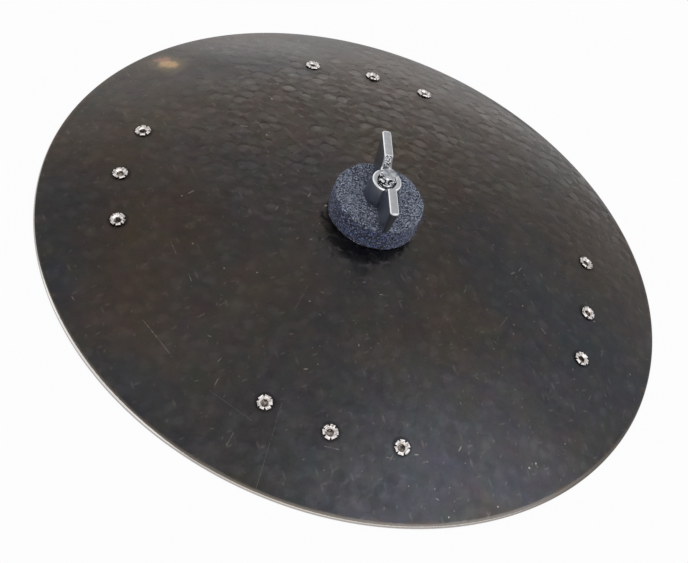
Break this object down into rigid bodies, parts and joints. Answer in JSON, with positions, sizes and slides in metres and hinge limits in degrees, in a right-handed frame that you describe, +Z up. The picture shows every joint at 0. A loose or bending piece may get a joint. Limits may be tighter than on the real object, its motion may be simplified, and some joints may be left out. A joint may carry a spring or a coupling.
{
  "type": "effects cymbal",
  "caption": "Domed hammered bronze effects cymbal with groups of loose flared rivets, held on a short threaded post between felts by a wing nut.",
  "frame": {"origin": "middle of the circle that the rim rests on", "axes": "+Z up the post through the crown, +Y away from the picture's near rim, +X to its right"},
  "size_m": [0.3048, 0.3048, 0.0613],
  "materials": {
    "dark_patina": "dark hand-hammered patina on bronze, bare at the rim",
    "nickel_silver": "worn nickel plate",
    "grey_felt": "pressed wool felt, heathered blue-grey",
    "plated_steel": "zinc plate",
    "black_nylon": "moulded nylon",
    "chrome": "polished chrome plate"
  },
  "bodies": {
    "disc": {"cymbal_disc": "dark_patina"},
    "rivet_01": {"rivet_01": "nickel_silver"},
    "rivet_02": {"rivet_02": "nickel_silver"},
    "rivet_03": {"rivet_03": "nickel_silver"},
    "rivet_04": {"rivet_04": "nickel_silver"},
    "rivet_05": {"rivet_05": "nickel_silver"},
    "rivet_06": {"rivet_06": "nickel_silver"},
    "rivet_07": {"rivet_07": "nickel_silver"},
    "rivet_08": {"rivet_08": "nickel_silver"},
    "rivet_09": {"rivet_09": "nickel_silver"},
    "rivet_10": {"rivet_10": "nickel_silver"},
    "rivet_11": {"rivet_11": "nickel_silver"},
    "rivet_12": {"rivet_12": "nickel_silver"},
    "lower_felt": {"lower_felt": "grey_felt"},
    "top_felt": {"top_felt": "grey_felt"},
    "post": {"centre_post": "plated_steel", "post_sleeve": "black_nylon", "support_washer": "plated_steel"},
    "wing_nut": {"wing_nut": "chrome"}
  },
  "joints": [
    {"name": "disc_spin", "type": "hinge", "parent": "disc", "child": "lower_felt", "pos_m": [0, 0, 0.0308], "axis": [0, 0, 1], "continuous": true},
    {"name": "disc_sway", "type": "hinge", "parent": "lower_felt", "child": "top_felt", "pos_m": [0, 0, 0.0308], "axis": [0, 1, 0], "range_deg": [-8, 8], "stiffness_Nm_per_rad": 1.5, "deforming": ["top_felt", "lower_felt"]},
    {"name": "nut_turn", "type": "hinge", "parent": "top_felt", "child": "wing_nut", "pos_m": [0, 0, 0.05], "axis": [0, 0, 1], "range_deg": [0, 720]},
    {"name": "post_drop", "type": "slide", "parent": "top_felt", "child": "post", "axis": [0, 0, 1], "range_m": [-0.0025, 0]},
    {"name": "rivet_01_lift", "type": "slide", "parent": "disc", "child": "rivet_01", "axis": [-0.0927, 0.2723, 0.9577], "range_m": [0, 0.0009]},
    {"name": "rivet_02_lift", "type": "slide", "parent": "disc", "child": "rivet_02", "axis": [-0.0148, 0.2823, 0.9592], "range_m": [0, 0.0009]},
    {"name": "rivet_03_lift", "type": "slide", "parent": "disc", "child": "rivet_03", "axis": [0.0549, 0.2798, 0.9585], "range_m": [0, 0.0009]},
    {"name": "rivet_04_lift", "type": "slide", "parent": "disc", "child": "rivet_04", "axis": [0.2808, 0.0628, 0.9577], "range_m": [0, 0.0009]},
    {"name": "rivet_05_lift", "type": "slide", "parent": "disc", "child": "rivet_05", "axis": [0.2845, -0.0189, 0.9585], "range_m": [0, 0.0009]},
    {"name": "rivet_06_lift", "type": "slide", "parent": "disc", "child": "rivet_06", "axis": [0.2794, -0.0913, 0.9558], "range_m": [0, 0.0009]},
    {"name": "rivet_07_lift", "type": "slide", "parent": "disc", "child": "rivet_07", "axis": [0.0764, -0.2891, 0.9543], "range_m": [0, 0.0009]},
    {"name": "rivet_08_lift", "type": "slide", "parent": "disc", "child": "rivet_08", "axis": [-0.0046, -0.2952, 0.9554], "range_m": [0, 0.0009]},
    {"name": "rivet_09_lift", "type": "slide", "parent": "disc", "child": "rivet_09", "axis": [-0.0808, -0.28, 0.9566], "range_m": [0, 0.0009]},
    {"name": "rivet_10_lift", "type": "slide", "parent": "disc", "child": "rivet_10", "axis": [-0.2825, -0.0767, 0.9562], "range_m": [0, 0.0009]},
    {"name": "rivet_11_lift", "type": "slide", "parent": "disc", "child": "rivet_11", "axis": [-0.2927, -0.0041, 0.9562], "range_m": [0, 0.0009]},
    {"name": "rivet_12_lift", "type": "slide", "parent": "disc", "child": "rivet_12", "axis": [-0.2796, 0.0728, 0.9573], "range_m": [0, 0.0009]}
  ],
  "couplings": [
    {"joint": "nut_turn", "follows": "post_drop", "rad_per_m": -5026.5}
  ]
}
